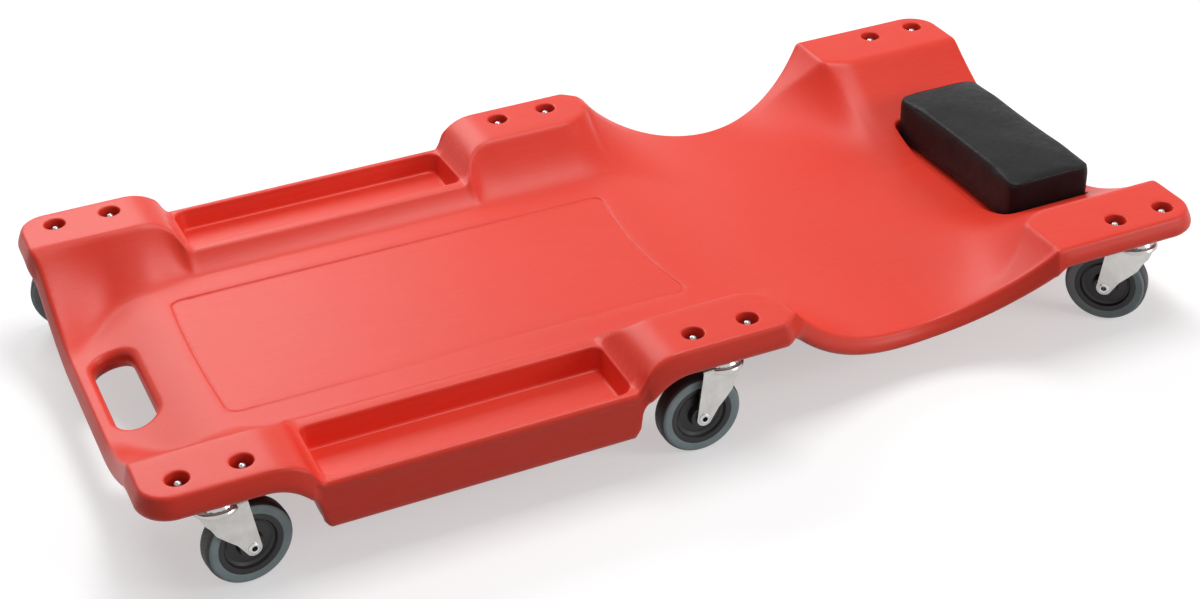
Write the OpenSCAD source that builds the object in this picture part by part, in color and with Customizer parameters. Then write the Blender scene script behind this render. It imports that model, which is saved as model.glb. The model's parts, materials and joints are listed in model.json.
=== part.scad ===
// Mechanic creeper: a blow-moulded board with a padded headrest on six swivel casters.
// Millimetres. X runs from the foot end to the head end, Z is up from the floor,
// and the origin is on the floor below the middle of the board.

/* [Board] */
// Length of the board
board_len = 1000; // [960:5:1040]
// Half width of the board at the caster pads
pad_half = 248; // [240:1:256]
// Half width of the board at the arm dips
dip_half = 216; // [210:0.5:226]
// Half width of the board along the tool trays
tray_half = 244; // [240:1:248]
// Height of the flat panel above the floor
panel_top = 78; // [74:1:82]
// Height of the deck at the foot end
foot_low = 62; // [58:1:70]
// Height of the deck under the shoulders and the head
head_low = 55; // [50:1:60]
// Thickness of the board
board_t = 20; // [18:0.5:22]
// Wall of the hollow moulding
wall = 3.5; // [2.5:0.5:4]

/* [Caster pads] */
// Top of the foot pads
foot_top = 117; // [114:0.5:120]
// Top of the middle pads
mid_top = 119.5; // [116:0.5:122]
// Top of the head pads
head_top = 115.5; // [113:0.5:118]
// Distance from the board's middle to the kingpins of the foot casters, along X
foot_pin = -437.5; // [-440:0.5:-430]
// Place of the kingpins of the middle casters, along X
mid_pin = 11; // [5:0.5:20]
// Place of the kingpins of the head casters, along X
head_pin = 443.5; // [438:0.5:446]
// Distance of the kingpins from the middle line
pin_row = 220; // [216:0.5:224]
// Distance between the two bolts of a caster
bolt_gap = 52; // [50:0.5:54]
// Diameter of the wells for the cap nuts
well_d = 19.5; // [18:0.5:21]
// Depth of the wells below the pad tops
well_depth = 16.5; // [15:0.5:16.5]

/* [Tool trays] */
// Foot end of the pocket
tray_x0 = -350; // [-352:1:-340]
// Head end of the pocket
tray_x1 = -78; // [-90:1:-76]
// Inner edge of the pocket
tray_y0 = 164; // [160:1:168]
// Outer edge of the pocket
tray_y1 = 236; // [228:1:237]
// Height of the pocket's floor
tray_floor = 71; // [66:1:73]
// Height of the tray's outer rim
tray_rim = 90; // [88:0.5:92]
// Height of the underside of the tray
skirt_low = 41.5; // [40:0.5:50]

/* [Hand slot] */
// Middle of the slot, along X
slot_x = -459; // [-462:1:-455]
// Length of the slot across the board
slot_len = 118; // [100:1:124]
// Width of the slot
slot_w = 36; // [30:1:40]

/* [Arm dips] */
// Middle of the dip, along X
dip_x = 211; // [205:1:217]
// Height of the centre of the dip's arc
dip_z = 220; // [216:1:224]
// Radius of the dip's arc
dip_r = 167; // [163:1:170]

/* [Headrest] */
// Middle of the headrest, along X
rest_x = 429; // [426:1:432]
// Size along the board
rest_len = 90; // [84:1:92]
// Size across the board
rest_wid = 212; // [200:1:214]
// Height of the seam above the floor
rest_top = 104.5; // [98:0.5:106]
// Rise of the crown above the seam
rest_crown = 4; // [2:0.5:6]
// Floor of the headrest's seat in the deck
seat_floor = 53; // [52:0.5:54]

/* [Casters] */
// Radius of the tyre
wheel_r = 38; // [36:0.5:38]
// Width of the tyre
wheel_w = 19; // [18:0.5:19.5]
// Offset of the axle from the kingpin
trail = 22; // [21:0.5:22.5]
// Height of the underside of the caster pads
pad_low = 96; // [96:0.5:97]
// Direction in which each caster trails, from +X: foot, middle, head, right then left
swivel = [8, 179, 134, 165, 172, -30];

/* [Hidden] */
board_x0 = -board_len / 2;
board_x1 = board_len / 2;
round_fn = 48;

// Caster places
PLACES = ["foot_right", "mid_right", "head_right", "foot_left", "mid_left", "head_left"];
PIN_X = [foot_pin, mid_pin, head_pin];
CASTERS = [0:5];
function pin_x(i) = PIN_X[i % 3];
function pin_y(i) = i < 3 ? -pin_row : pin_row;

GROUPS = [
    "deck", "headrest_cover", "headrest_foam", "headrest_base", "headrest_screws",
    "cover_staples", "caster_bolts", "bolt_washers", "cap_nuts", "kingpins"
];
CASTER_PARTS = ["top_plate", "race_balls", "fork", "axle", "axle_bush", "hub", "tyre"];

// Curves
function unit(t) = max(0, min(1, t));
function mix(a, b, u) = a + (b - a) * u;
function ease(a, b, t) = let (u = unit((t - a) / (b - a))) u * u * (3 - 2 * u);
function quarter(a, b, t) = let (u = unit((t - a) / (b - a))) 1 - sqrt(1 - u * u);
function soft_min(a, b, k) = let (h = unit(0.5 + 0.5 * (b - a) / k)) mix(b, a, h) - k * h * (1 - h);
function arc_drop(r, d) = d < r ? r - sqrt(r * r - (r - d) * (r - d)) : 0;

// Caster pads and tray rims along the board
foot_pad_end = -394;
tray_rim_start = -357;
tray_rim_end = -72;
mid_pad_start = -36;
inner_rim_rise = 3;
function in_tray(x) = min(quarter(foot_pad_end, tray_rim_start, x), quarter(mid_pad_start, tray_rim_end, x));
function pad_level(x) = x < (tray_rim_start + tray_rim_end) / 2 ? foot_top : x < dip_x ? mid_top : head_top;
function dip_arc(x, r) = abs(x - dip_x) < r ? dip_z - sqrt(r * r - (x - dip_x) * (x - dip_x)) : dip_z;
function rail_top(x) = soft_min(mix(pad_level(x), tray_rim, in_tray(x)), dip_arc(x, dip_r), 7);

// Underside of the rails: flat below the pads, arched to the tray skirts, and parallel to the dips
arch_r = 46;
skirt_lead = 5;
arch_foot = tray_x0 - skirt_lead - 1 - arch_r;
arch_mid = tray_x1 + skirt_lead - 1 + arch_r;
arch_drop = 47;
dip_t = board_t - 3;
function arch(d) = quarter(0, arch_r, d);
function skirt(x) = min(arch(x - arch_foot), arch(arch_mid - x));
function skirt_foot(x) = min(unit((x - arch_foot - arch_r) / skirt_lead),
    unit((arch_mid - arch_r - x) / skirt_lead));
function rail_low(x) = soft_min(
    pad_low - arch_drop * skirt(x) - (pad_low - arch_drop - skirt_low) * skirt_foot(x),
    dip_arc(x, dip_r + dip_t), 6);

// Middle of the deck along the board
function mid_line(x) = foot_low + (panel_top - foot_low) * ease(-478, -398, x)
    - (panel_top - head_low) * ease(50, 215, x);

// Half width, with the corners of the plan rounded
foot_corner = 30;
head_corner = 34;
dip_round = 13.5;
function dip_shape(x) = 1 - pow(unit((x - 222) / 117), 2);
function width_at(x) = pad_half - (pad_half - tray_half) * ease(0.2, 1, in_tray(x))
    - ((pad_half - dip_half - dip_round) * ease(62, 90, x) + dip_round * ease(85, 222, x)) * dip_shape(x);
function corner_drop(x) = arc_drop(foot_corner, x - board_x0) + arc_drop(head_corner, board_x1 - x);
function half_width(x) = width_at(x) - corner_drop(x);

// Where the slope up to the rails starts and ends, from the middle line
pad_corner = 35;
function slope_start(x) = mix(60, 115, ease(-500, -430, x)) + 12 * ease(-400, -360, x) - 82 * ease(60, 200, x);
function slope_end(x) = 180 - 28 * ease(0, 1, in_tray(x)) + 30 * quarter(40, 40 + pad_corner, x)
    - 36 * ease(302, 346, x);
function slope(u) = soft_min(pow(max(u, 0), 1.7), 1, 0.12);

// Top and underside of the board at a place
end_r = 5;
function end_drop(x) = arc_drop(end_r, min(x - board_x0, board_x1 - x));
function top_z(x, y) = let (a = slope_start(x), b = slope_end(x), rim = rail_top(x) + inner_rim_rise * in_tray(x)
        * (1 - unit((y - b) / 80)))
    mix(mid_line(x), rim, slope((y - a) / (b - a))) - end_drop(x);
function low_z(x, y) = let (a = slope_start(x) + 5, b = slope_end(x) + 10 - 12 * in_tray(x))
    mix(mid_line(x) - board_t, rail_low(x), slope((y - a) / (b - a))) + end_drop(x);

// Half of a cross-section from the rim inwards, as places across the board and distances from the rim's level.
// The inset is the wall of the moulding, and is zero for the outside. The underside's first step lies outside
// its slope, so the seats of the casters are flat.
EDGE = [[1.1, 7], [3.6, 2.6], [5.6, 0.7], [8, 0]];
STEPS = [1.04, 0.9, 0.75, 0.55, 0.35, 0.15];
LOW_STEPS = [1.12, 0.9, 0.75, 0.55, 0.35, 0.15];
HOLLOW_EDGE = [[1.5, 5], [7, 0]];
HOLLOW_STEPS = [1.0, 0.75, 0.45, 0.2];
wall_rise = 1.3 * wall;
foot_inset = 3.5;
function foot_shift(x, y) = foot_inset * (1 - ease(166, 186, y)) * (1 - ease(board_x0, board_x0 + 70, x));
function place(x, y, z) = [x + foot_shift(x, y), y, z];
function upper(x, inset, edge, steps) = let (w = half_width(x) - inset, dz = inset > 0 ? wall_rise : 0,
        zt = top_z(x, w - 8) - dz, zm = (zt + low_z(x, w - 8) + dz) / 2, a = slope_start(x), b = slope_end(x))
    concat([for (e = edge) place(x, w - e[0], max(zt - e[1], zm + 0.4))],
        [for (f = steps) let (y = min(mix(a, b, f), w - 10)) place(x, y, top_z(x, y) - dz)],
        [for (f = [0.5, 0]) place(x, a * f, top_z(x, a * f) - dz)]);
function lower(x, inset, edge, steps) = let (w = half_width(x) - inset, dz = inset > 0 ? wall_rise : 0,
        zl = low_z(x, w - 8) + dz, zm = (top_z(x, w - 8) + low_z(x, w - 8)) / 2,
        a = slope_start(x), b = slope_end(x))
    concat([for (e = edge) place(x, w - e[0], min(zl + e[1], zm - 0.4))],
        [for (f = steps) let (y = min(mix(a + 5, b + 8, f), w - 9.5)) place(x, y, low_z(x, y) + dz)],
        [for (f = [0.5, 0]) place(x, a * f, low_z(x, a * f) + dz)]);
function rim_point(x, inset) = let (w = half_width(x) - inset)
    place(x, w, (top_z(x, w - 8) + low_z(x, w - 8)) / 2);
function mirrored(p) = [p[0], -p[1], p[2]];

// A closed ring that starts at the rim: along the top to the other rim, and back along the underside
function ring(x, inset, edge, steps, low_steps) = let (
        u = upper(x, inset, edge, steps), l = lower(x, inset, edge, low_steps),
        t = rim_point(x, inset), n = len(u))
    concat([t], u, [for (i = [n - 2:-1:0]) mirrored(u[i])], [mirrored(t)],
        [for (p = l) mirrored(p)], [for (i = [n - 2:-1:0]) l[i]]);

// A closed skin over rings of equal length, whose ends are strips between the two halves of a ring
module skin(rings) {
    n = len(rings[0]);
    m = len(rings);
    h = n / 2;
    points = [for (r = rings, p = r) p];
    sides = [for (i = [0:m - 2], j = [0:n - 1]) let (k = (j + 1) % n)
        each [[i * n + j, (i + 1) * n + j, i * n + k], [i * n + k, (i + 1) * n + j, (i + 1) * n + k]]];
    strip = concat([[0, 1, n - 1]], [for (k = [1:h - 2]) each [[k, k + 1, n - k], [k + 1, n - k - 1, n - k]]],
        [[h - 1, h, h + 1]]);
    points_last = (m - 1) * n;
    caps = concat(strip, [for (t = strip) [t[0] + points_last, t[2] + points_last, t[1] + points_last]]);
    polyhedron(points, concat(sides, caps));
}

// Stations along the board, closer together where it bends
STATIONS = concat(
    [for (d = [0, 0.7, 2.5, 5, 9, 15, 22, 31, 44, 58, 74, 90]) board_x0 + d], [arch_foot],
    [for (d = [0, 9, 17, 24, 30, 34, 37]) foot_pad_end + d],
    [tray_rim_start + 5, -280, -150],
    [for (d = [-5, 0, 2, 6, 12, 19, 27, 36]) tray_rim_end + d],
    [arch_mid, 0, 40, 52, 61, 68, 74, 80, 88, 98, 110, 124, 140, 158, 178, 200, 222, 244],
    [262, 278, 292, 304, 315, 325, 333, 339, 344, 349, 360, 400, 440],
    [for (d = [34, 24, 16, 10, 5.5, 2.5, 0.7, 0]) board_x1 - d]
);
HOLLOW_STATIONS = [
    -494, -484, -466, -445, -420, -394, -380, -366, -357, -348, -280, -150, -80, -72, -60, -46, -34,
    0, 44, 66, 80, 96, 116, 140, 170, 205, 235, 262, 286, 306, 322, 335, 346, 370, 410, 450, 480, 494
];

// Hand slot: a stadium across the board, flared towards both faces
mouth = 5;
slot_mid = foot_low - board_t / 2 + 1;
module flare(z, h, g0, g1) {
    w0 = slot_w / 2 + g0;
    w1 = slot_w / 2 + g1;
    end_y = (slot_len - slot_w) / 2;
    translate([0, 0, z]) {
        for (s = [-1, 1]) translate([0, s * end_y, 0]) cylinder(h = h, r1 = w0, r2 = w1, $fn = round_fn);
        rotate([90, 0, 0]) linear_extrude(2 * end_y, center = true)
            polygon([[-w0, 0], [w0, 0], [w1, h], [-w1, h]]);
    }
}
module slot_cut(grow) {
    translate([slot_x, 0, 0]) {
        flare(slot_mid - 30, 60, grow, grow);
        flare(slot_mid + 4, 16, grow, mouth * 2 + grow);
        flare(slot_mid - 20, 16, mouth * 2 + grow, grow);
    }
}

// Tray pocket: a tapered box with rounded corners
pocket_taper = 9;
side_taper = 4;
top_corner = 10;
floor_corner = 6;
module pocket(grow) {
    hull() {
        for (u = [0, 1], v = [0, 1]) {
            end = top_corner - grow;
            low_end = floor_corner + pocket_taper - grow;
            low_side = floor_corner + side_taper - grow;
            low_y = mix(tray_y0 + low_side, tray_y1 - low_side, v);
            translate([mix(tray_x0 + low_end, tray_x1 - low_end, u), low_y, tray_floor - grow])
                cylinder(h = 0.5, r = floor_corner, $fn = 24);
            end_y = mix(tray_y0 + end, tray_y1 - end, v);
            translate([mix(tray_x0 + end, tray_x1 - end, u), end_y, tray_rim + 4])
                cylinder(h = 0.5, r = top_corner, $fn = 24);
        }
    }
}

// Places of the caster bolts, with the heights of their pads, and of the headrest screws
PAD_TOPS = [foot_top, mid_top, head_top];
BOLTS = [for (i = CASTERS, s = [-1, 1]) [pin_x(i) + s * bolt_gap / 2, pin_y(i), PAD_TOPS[i % 3]]];
SCREWS = [for (s = [-1, 1]) [rest_x, s * 55]];
bolt_r = 3;
screw_r = 2.5;
screw_seat = 38.5;
screw_head = 3.2;
screw_head_r = 6;
screw_bite = 7;
counterbore_r = 9;
module at(places) {
    for (p = places) translate([p[0], p[1], 0]) children();
}

// Seat for the headrest, a flat-floored recess
seat_gap = 1;
seat_corner = 6;
module seat(grow) {
    lx = rest_len + 2 * seat_gap + 2 * grow;
    ly = rest_wid + 2 * seat_gap + 2 * grow;
    translate([rest_x, 0, seat_floor - grow]) linear_extrude(60) {
        square([lx - 2 * seat_corner, ly], center = true);
        square([lx, ly - 2 * seat_corner], center = true);
        for (u = [-1, 1], v = [-1, 1])
            translate([u * (lx / 2 - seat_corner), v * (ly / 2 - seat_corner)])
                circle(r = seat_corner, $fn = round_fn);
    }
}

// Groove round the bare panel: two straight sides, an end bowed outwards, an end bowed inwards, round corners
groove_w = 1.8;
groove_d = 1.2;
groove_half = 97.7;
groove_foot = -393.5;
groove_head = 31.5;
groove_corner = 10;
foot_bow = 1360;
head_bow = 480;
corner_y = groove_half - groove_corner;
foot_centre = groove_foot + foot_bow;
head_centre = groove_head + head_bow;
foot_corner_x = foot_centre - sqrt(pow(foot_bow - groove_corner, 2) - corner_y * corner_y);
head_corner_x = head_centre - sqrt(pow(head_bow + groove_corner, 2) - corner_y * corner_y);
head_turn = asin(corner_y / (head_bow + groove_corner));
foot_turn = asin(corner_y / (foot_bow - groove_corner));
function turn(x, y, r, a0, a1) =
    [for (k = [0:6]) let (a = mix(a0, a1, k / 6)) [x + r * cos(a), y + r * sin(a)]];
function bow(x, r, y) = [for (k = [1:9]) let (v = mix(y, -y, k / 10)) [x - sqrt(r * r - v * v), v]];
module panel_outline(grow) {
    r = groove_corner + grow;
    polygon(concat(
        turn(foot_corner_x, corner_y, r, 180 - foot_turn, 90),
        turn(head_corner_x, corner_y, r, 90, -head_turn),
        bow(head_centre, head_bow - grow, corner_y - r * sin(head_turn)),
        turn(head_corner_x, -corner_y, r, head_turn, -90),
        turn(foot_corner_x, -corner_y, r, -90, foot_turn - 180),
        bow(foot_centre, foot_bow + grow, -corner_y - r * sin(foot_turn))
    ));
}
module groove() {
    translate([0, 0, panel_top - groove_d]) linear_extrude(groove_d + 3) difference() {
        panel_outline(groove_w / 2);
        panel_outline(-groove_w / 2);
    }
}

// Board: the outer skin, hollow except round the slot, the trays, the wells and the screws
well_lip = 1.2;
module deck() {
    color("#e0483c") difference() {
        skin([for (x = STATIONS) ring(x, 0, EDGE, STEPS, LOW_STEPS)]);
        difference() {
            skin([for (x = HOLLOW_STATIONS) ring(x, wall, HOLLOW_EDGE, HOLLOW_STEPS, HOLLOW_STEPS)]);
            slot_cut(wall);
            for (s = [-1, 1]) scale([1, s, 1]) pocket(wall);
            at(BOLTS) translate([0, 0, pad_low - 1]) cylinder(h = 30, d = well_d + 2 * wall, $fn = round_fn);
            seat(wall);
            at(SCREWS) translate([0, 0, 20]) cylinder(h = 40, r = counterbore_r + 3, $fn = round_fn);
        }
        slot_cut(0);
        for (s = [-1, 1]) scale([1, s, 1]) pocket(0);
        for (b = BOLTS) translate([b[0], b[1], b[2]]) {
            translate([0, 0, -well_depth]) cylinder(h = 30, d = well_d, $fn = round_fn);
            translate([0, 0, -well_lip])
                cylinder(h = 2 * well_lip, d1 = well_d, d2 = well_d + 4 * well_lip, $fn = round_fn);
            translate([0, 0, -30]) cylinder(h = 20, r = bolt_r + 0.3, $fn = round_fn);
        }
        seat(0);
        at(SCREWS) {
            translate([0, 0, 25]) cylinder(h = screw_seat - 25, r = counterbore_r, $fn = round_fn);
            translate([0, 0, 30]) cylinder(h = 30, r = screw_r + 0.3, $fn = round_fn);
        }
        groove();
    }
}

// Headrest: rings of a rounded rectangle whose sides are drawn in between the corners
rest_low = seat_floor + 0.8;
cover_t = 1.4;
rest_corner = 6;
draw_in = 1.6;
top_inset = 3.4;
function rest_quarter(inset) = let (
        hx = rest_len / 2 - inset, hy = rest_wid / 2 - inset, r = rest_corner - inset, cx = hx - r, cy = hy - r)
    concat([for (f = [0, 0.4, 0.75]) [hx, cy * f]],
        [for (a = [0:30:90]) [cx + r * cos(a), cy + r * sin(a)]], [[cx / 2, hy], [0, hy]]);
function drawn(p, pull) = let (u = 2 * p[0] / rest_len, v = 2 * p[1] / rest_wid)
    [p[0] - pull * (1 - v * v) * u, p[1] - pull * 0.5 * (1 - u * u) * v];
function rest_ring(inset, z, pull, shrink = 1) = let (
        q = [for (p = rest_quarter(inset)) drawn(p, pull) * shrink], n = len(q),
        half = concat(q, [for (i = [n - 2:-1:0]) [-q[i][0], q[i][1]]]), m = len(half))
    [for (p = concat(half, [for (i = [m - 2:-1:1]) [half[i][0], -half[i][1]]])) [rest_x + p[0], p[1], z]];
module rest_body(inset) {
    top = rest_top - inset;
    low = rest_low + inset;
    skin(concat(
        [for (s = [[3, 0, 0.2], [0.9, 0.9, 0.5], [0, 3, 0.7], [0, 20, 1], [0, 38, 0.9]])
            rest_ring(inset + s[0], low + s[1], draw_in * s[2])],
        [for (s = [[0, 5], [0.5, 2.4], [1.7, 0.7], [top_inset, 0]])
            rest_ring(inset + s[0], top - s[1], draw_in)],
        [for (s = [[0.96, 0.12], [0.8, 0.5], [0.55, 0.84], [0.28, 1]])
            rest_ring(inset + top_inset, top + rest_crown * s[1], draw_in, s[0])]
    ));
}

// Plywood base, inside the foam
base_t = 9;
base_low = rest_low + cover_t;
base_len = 72;
base_wid = 188;
hem_len = 52;
hem_wid = 168;
module base_block(drop) {
    translate([rest_x - base_len / 2, -base_wid / 2, base_low - drop]) cube([base_len, base_wid, base_t + drop]);
}

module headrest_cover() {
    color("#232325") difference() {
        rest_body(0);
        rest_body(cover_t);
        translate([rest_x - hem_len / 2, -hem_wid / 2, rest_low - 1]) cube([hem_len, hem_wid, 4]);
    }
}

module headrest_foam() {
    color("#e8dfc4") difference() {
        rest_body(cover_t);
        base_block(3);
    }
}

module headrest_base() {
    color("#c9a26b") difference() {
        base_block(0);
        at(SCREWS) translate([0, 0, base_low - 1]) cylinder(h = base_t + 2, r = screw_r - 0.2, $fn = round_fn);
    }
}

module headrest_screws() {
    color("#b9bcc0") at(SCREWS) {
        translate([0, 0, screw_seat - screw_head]) cylinder(h = screw_head, r = screw_head_r, $fn = round_fn);
        translate([0, 0, screw_seat])
            cylinder(h = base_low + screw_bite - screw_seat, r = screw_r, $fn = round_fn);
    }
}

staple_w = 10;
staple_t = 0.6;
staple_leg = 6;
staple_gap = 25;
hem_x = 31;
hem_y = 89;
module staple() {
    translate([-staple_w / 2, -staple_t, -staple_t]) cube([staple_w, 2 * staple_t, staple_t]);
    for (s = [-1, 1]) translate([s * (staple_w - staple_t) / 2 - staple_t / 2, -staple_t, -0.05])
        cube([staple_t, 2 * staple_t, staple_leg]);
}
module cover_staples() {
    color("#a9acb0") {
        for (x = [-20, 0, 20], s = [-1, 1]) translate([rest_x + x, s * hem_y, rest_low]) staple();
        for (k = [-3:3], s = [-1, 1])
            translate([rest_x + s * hem_x, k * staple_gap, rest_low]) rotate(90) staple();
    }
}

// Caster fasteners: bolts from below, cap nuts in the wells
plate_t = 2.5;
hex_r = 5 / cos(30);
washer_t = 1.5;
bolt_tip = 109;
cap_hex = 5.2;
cap_collar = 2.6;
cap_r = 4.2;
cap_bore = 8.8;
bolt_head = 4;
washer_r = 9;
module hexagon(h) {
    cylinder(h = h, r = hex_r, $fn = 6);
}
module caster_bolts() {
    color("#c3c6ca") at(BOLTS) {
        translate([0, 0, pad_low - plate_t - bolt_head]) hexagon(bolt_head);
        translate([0, 0, pad_low - plate_t])
            cylinder(h = bolt_tip - pad_low + plate_t, r = bolt_r, $fn = round_fn);
    }
}
module on_well_floors() {
    for (b = BOLTS) translate([b[0], b[1], b[2] - well_depth]) children();
}
module bolt_washers() {
    color("#c3c6ca") on_well_floors() difference() {
        cylinder(h = washer_t, r = washer_r, $fn = round_fn);
        translate([0, 0, -1]) cylinder(h = washer_t + 2, r = bolt_r + 0.2, $fn = round_fn);
    }
}
module cap_nuts() {
    color("#d3d5d8") on_well_floors() translate([0, 0, washer_t]) difference() {
        union() {
            hexagon(cap_hex);
            translate([0, 0, cap_hex]) cylinder(h = cap_collar, r = cap_r, $fn = round_fn);
            translate([0, 0, cap_hex + cap_collar]) difference() {
                sphere(r = cap_r, $fn = round_fn);
                translate([-10, -10, -20]) cube([20, 20, 20]);
            }
        }
        translate([0, 0, -1]) cylinder(h = cap_bore + 1, r = bolt_r + 0.02, $fn = round_fn);
    }
}

// Casters. In its own frame a caster trails along +X, with the kingpin on Z.
module at_pin(i) {
    translate([pin_x(i), pin_y(i), 0]) children();
}
module at_caster(i) {
    at_pin(i) rotate(swivel[i]) children();
}
pin_r = 4.5;
pin_play = 0.06;
plate_low = pad_low - plate_t;
crown_top = 90.4;
web_top = 86.5;
crown_floor = 87.8;
rivet_h = 2.4;
ball_r = 2.38;
race_r = 12.4;
ball_z = (crown_top + plate_low) / 2;
ball_count = 14;
module race_groove() {
    rotate_extrude($fn = round_fn) translate([race_r, ball_z]) circle(r = ball_r + 0.05, $fn = 24);
}
sink = 2;
module countersink() {
    translate([0, 0, pad_low - sink]) cylinder(h = sink, r1 = pin_r, r2 = pin_r + sink, $fn = round_fn);
}

module kingpins() {
    color("#b4b7bb") for (i = CASTERS) at_pin(i) {
        translate([0, 0, crown_floor - rivet_h - 0.05]) cylinder(h = rivet_h, r1 = 6, r2 = 7.5, $fn = round_fn);
        translate([0, 0, crown_floor - 1]) cylinder(h = pad_low - crown_floor + 1, r = pin_r, $fn = round_fn);
        countersink();
    }
}

// Flange with two ears for the bolts
plate_r = 20.5;
ear_r = 9;
module top_plate(i) {
    color("#aeb2b6") at_pin(i) difference() {
        translate([0, 0, plate_low]) linear_extrude(plate_t) {
            circle(r = plate_r, $fn = 96);
            for (s = [-1, 1]) translate([s * bolt_gap / 2, 0]) circle(r = ear_r, $fn = round_fn);
            polygon([[-30, -8], [-12, -16.6], [12, -16.6], [30, -8],
                [30, 8], [12, 16.6], [-12, 16.6], [-30, 8]]);
        }
        for (s = [-1, 1]) translate([s * bolt_gap / 2, 0, plate_low - 1])
            cylinder(h = 5, r = bolt_r + 0.1, $fn = round_fn);
        translate([0, 0, plate_low - 1]) cylinder(h = 5, r = pin_r, $fn = round_fn);
        countersink();
        race_groove();
    }
}

module race_balls(i) {
    color("#d9dbde") at_pin(i) for (k = [0:ball_count - 1])
        rotate(360 * k / ball_count) translate([race_r, 0, ball_z]) sphere(r = ball_r, $fn = 24);
}

// Fork: a pressed crown with a rolled rim, a flat web behind it, and two legs that fold in ahead of a crease
leg_out = 15;
leg_t = 2;
axle_r = 4;
leg_end_r = 7;
leg_rear = 22.5;
leg_front = -17;
web_front = 6;
CROWN = [[pin_r + pin_play, crown_top], [14.4, crown_top], [15.8, 89.2], [16.9, 86.8], [19.4, 85.6],
    [20.5, 83.6], [20, 81.6], [18.5, 80.9], [17.3, 81.8], [17.2, 83.4], [15.2, 84.4], [14.2, 86.6], [13, crown_floor],
    [pin_r + pin_play, crown_floor]];
SHOULDER = [[leg_out, 84], [14.8, 85], [14.2, 85.8], [13.3, 86.3], [12, web_top]];
LEG_PLAN = [[31, leg_out], [9, leg_out], [1, 13.8], [-19, 8], [-18.4, 6], [1.3, 11.8], [9.2, leg_out - leg_t],
    [31, leg_out - leg_t]];
LEG_SIDE = [[17.2, 32.5], [8.6, 46.3], [-6.3, 59.8], [-10, 67.4], [-14.5, 73], [leg_front, 80], [leg_front, 85],
    [leg_rear, 85], [trail + leg_end_r - 0.1, 38.5], [trail, wheel_r]];
module leg() {
    difference() {
        intersection() {
            linear_extrude(100) polygon(LEG_PLAN);
            translate([0, 20, 0]) rotate([90, 0, 0]) linear_extrude(20) {
                polygon(LEG_SIDE);
                translate([trail, wheel_r]) circle(r = leg_end_r, $fn = round_fn);
            }
        }
        translate([trail, leg_out + 1, wheel_r]) rotate([90, 0, 0])
            cylinder(h = 6, r = axle_r + 0.05, $fn = round_fn);
    }
}
module web() {
    difference() {
        translate([web_front, 0, 0]) rotate([90, 0, 90]) linear_extrude(leg_rear - web_front)
            polygon(concat(SHOULDER, [for (k = [len(SHOULDER) - 1:-1:0]) [-SHOULDER[k][0], SHOULDER[k][1]]]));
        translate([0, 0, 80]) cylinder(h = 10, r = 14.8, $fn = 96);
    }
}
module fork(i) {
    color("#c8cacc") at_caster(i) difference() {
        union() {
            rotate_extrude($fn = 96) polygon(CROWN);
            web();
            leg();
            scale([1, -1, 1]) leg();
        }
        race_groove();
    }
}

// Axle: a tube rivet whose ends are rolled over the legs
rivet_bore = 2.5;
rivet_lip = 5.1;
rivet_lip_t = 1.1;
module on_axle(i) {
    at_caster(i) translate([trail, 0, wheel_r]) rotate([90, 0, 0]) children();
}
RIVET = [[rivet_bore, leg_out + rivet_lip_t], [3.6, leg_out + rivet_lip_t + 0.3], [rivet_lip, leg_out + 0.6],
    [rivet_lip, leg_out], [axle_r, leg_out]];
module axle(i) {
    color("#c3c6ca") on_axle(i) rotate_extrude($fn = 64) polygon(both_sides(RIVET));
}
bush_r = 5.5;
module axle_bush(i) {
    color("#9a9da1") on_axle(i) translate([0, 0, -leg_out + leg_t]) difference() {
        cylinder(h = 2 * (leg_out - leg_t), r = bush_r, $fn = round_fn);
        translate([0, 0, -1]) cylinder(h = 2 * leg_out, r = axle_r + 0.05, $fn = round_fn);
    }
}

// Wheel: half profiles from the axle outwards, mirrored about the middle plane
hub_r = 28.5;
HUB = [[bush_r + 0.06, 12.4], [9.6, 12.4], [10.6, 11.4], [12, 5.4], [19.6, 4.6], [22.2, 6], [23.6, 8.4],
    [26.4, 8.9], [hub_r, 8.9]];
TYRE = [[hub_r, 8.9], [29.6, 9.2], [32.5, wheel_w / 2], [wheel_r - 3.4, wheel_w / 2],
    [wheel_r - 2, wheel_w / 2 - 0.8], [wheel_r - 0.9, wheel_w / 2 - 2.2],
    [wheel_r - 0.2, wheel_w / 2 - 4], [wheel_r, wheel_w / 2 - 6]];
function both_sides(half) = concat(half, [for (k = [len(half) - 1:-1:0]) [half[k][0], -half[k][1]]]);
module hub(i) {
    color("#1c1c1f") on_axle(i) rotate_extrude($fn = 96) polygon(both_sides(HUB));
}
module tyre(i) {
    color("#7d8a8c") on_axle(i) rotate_extrude($fn = 96) polygon(both_sides(TYRE));
}

deck();
headrest_cover();
headrest_foam();
headrest_base();
headrest_screws();
cover_staples();
caster_bolts();
bolt_washers();
cap_nuts();
kingpins();
for (i = CASTERS) {
    top_plate(i);
    race_balls(i);
    fork(i);
    axle(i);
    axle_bush(i);
    hub(i);
    tyre(i);
}
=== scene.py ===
import json
import math
import bmesh
import bpy
import numpy as np
from mathutils import Matrix, Vector
from mathutils.bvhtree import BVHTree
from mathutils.geometry import delaunay_2d_cdt


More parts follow.
